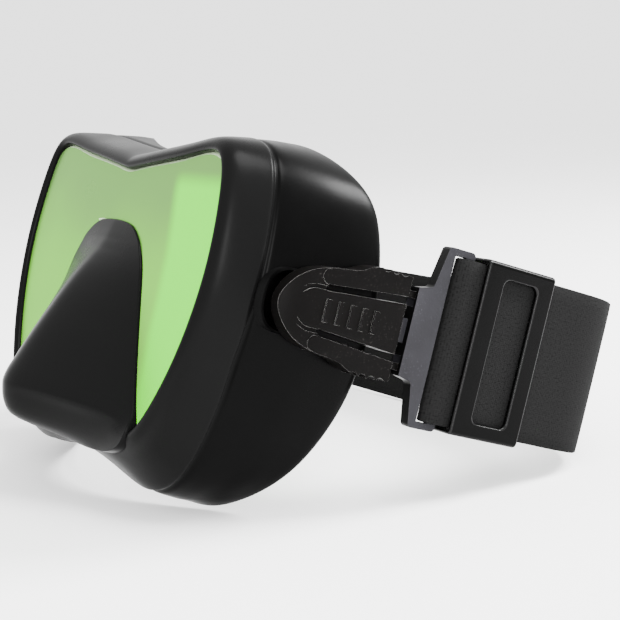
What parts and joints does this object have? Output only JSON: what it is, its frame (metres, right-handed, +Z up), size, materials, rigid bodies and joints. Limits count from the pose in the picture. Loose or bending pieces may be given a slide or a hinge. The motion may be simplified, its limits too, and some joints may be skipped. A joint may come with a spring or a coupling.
{
  "type": "diving mask",
  "caption": "Frameless single-lens diving mask with a nose pocket, swivel side-release buckles and an elastic head strap held by sliding keepers.",
  "frame": {"origin": "middle of the bounding box's foot, on the surface that the mask stands on", "axes": "+X towards the wearer's left, +Y back towards the strap, +Z up; the mask is leaned back 18.9 degrees and stands on its two cheeks and the back of its strap"},
  "size_m": [0.1888, 0.1852, 0.1112],
  "materials": {
    "lens_glass": "tempered safety glass with a green mirror coating",
    "skirt_silicone": "satin black silicone, matte on the front band",
    "core_plastic": "moulded polycarbonate",
    "pin_steel": "plain stainless steel",
    "washer_plastic": "natural acetal",
    "buckle_plastic": "fine-textured black nylon with pale worn edges",
    "frame_plastic": "satin dark grey acetal",
    "strap_webbing": "fine-ribbed dark grey elastic webbing",
    "keeper_rubber": "glossy black thermoplastic rubber"
  },
  "bodies": {
    "mask": {"lens": "lens_glass", "frame_core": "core_plastic", "skirt": "skirt_silicone", "swivel_boss_left": "core_plastic", "pivot_pin_left": "pin_steel", "pivot_washer_left": "washer_plastic", "swivel_boss_right": "core_plastic", "pivot_pin_right": "pin_steel", "pivot_washer_right": "washer_plastic"},
    "strap_assembly": {"strap": "strap_webbing", "buckle_body_left": "buckle_plastic", "strap_frame_left": "frame_plastic", "buckle_body_right": "buckle_plastic", "strap_frame_right": "frame_plastic"},
    "upper_arm_left": {"upper_latch_arm_left": "buckle_plastic"},
    "lower_arm_left": {"lower_latch_arm_left": "buckle_plastic"},
    "keeper_left": {"strap_keeper_left": "keeper_rubber"},
    "upper_arm_right": {"upper_latch_arm_right": "buckle_plastic"},
    "lower_arm_right": {"lower_latch_arm_right": "buckle_plastic"},
    "keeper_right": {"strap_keeper_right": "keeper_rubber"}
  },
  "joints": [
    {"name": "strap_swivel", "type": "hinge", "parent": "mask", "child": "strap_assembly", "pos_m": [0, -0.03705, 0.06483], "axis": [1, 0, 0], "range_deg": [-25, 35]},
    {"name": "upper_pinch_left", "type": "hinge", "parent": "strap_assembly", "child": "upper_arm_left", "pos_m": [0.088, -0.02827, 0.07197], "axis": [-1, 0, 0], "range_deg": [0, 3.8], "stiffness_Nm_per_rad": 0.3},
    {"name": "lower_pinch_left", "type": "hinge", "parent": "strap_assembly", "child": "lower_arm_left", "pos_m": [0.088, -0.03449, 0.05381], "axis": [1, 0, 0], "range_deg": [0, 3.8], "stiffness_Nm_per_rad": 0.3},
    {"name": "keeper_slide_left", "type": "slide", "parent": "strap_assembly", "child": "keeper_left", "axis": [0, 0.9461, -0.3239], "range_m": [-0.001, 0.012]},
    {"name": "upper_pinch_right", "type": "hinge", "parent": "strap_assembly", "child": "upper_arm_right", "pos_m": [-0.088, -0.02827, 0.07197], "axis": [-1, 0, 0], "range_deg": [0, 3.8], "stiffness_Nm_per_rad": 0.3},
    {"name": "lower_pinch_right", "type": "hinge", "parent": "strap_assembly", "child": "lower_arm_right", "pos_m": [-0.088, -0.03449, 0.05381], "axis": [1, 0, 0], "range_deg": [0, 3.8], "stiffness_Nm_per_rad": 0.3},
    {"name": "keeper_slide_right", "type": "slide", "parent": "strap_assembly", "child": "keeper_right", "axis": [0, 0.9461, -0.3239], "range_m": [-0.001, 0.012]}
  ]
}
